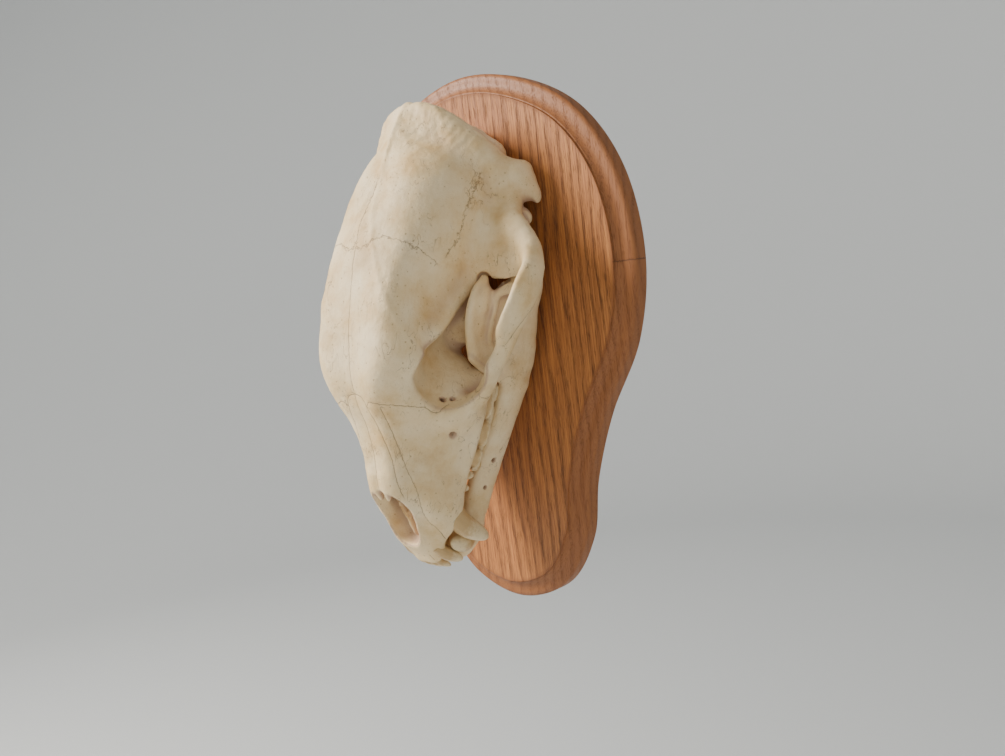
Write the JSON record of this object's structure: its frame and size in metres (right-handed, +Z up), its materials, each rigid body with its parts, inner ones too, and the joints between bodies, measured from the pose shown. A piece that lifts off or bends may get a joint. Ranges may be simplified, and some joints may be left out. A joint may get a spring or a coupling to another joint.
{
  "type": "mounted black bear skull",
  "caption": "Life-size bear skull with its lower jaw and teeth, mounted nose down on a pear-shaped wooden wall plaque.",
  "frame": {"origin": "middle of the plaque's flat back face, on the wall plane", "axes": "+Z up the wall, +Y into the wall, -Y towards the room, +X to the animal's left"},
  "size_m": [0.256, 0.1295, 0.3515],
  "materials": {
    "bone": "dry cleaned bone, satin, with fine pores",
    "oak": "stained oak with a satin varnish"
  },
  "bodies": {
    "root": {"cranium": "bone", "zygomatic_bone_left": "bone", "zygomatic_bone_right": "bone", "mandible_left": "bone", "mandible_right": "bone", "plaque": "oak"}
  },
  "joints": []
}
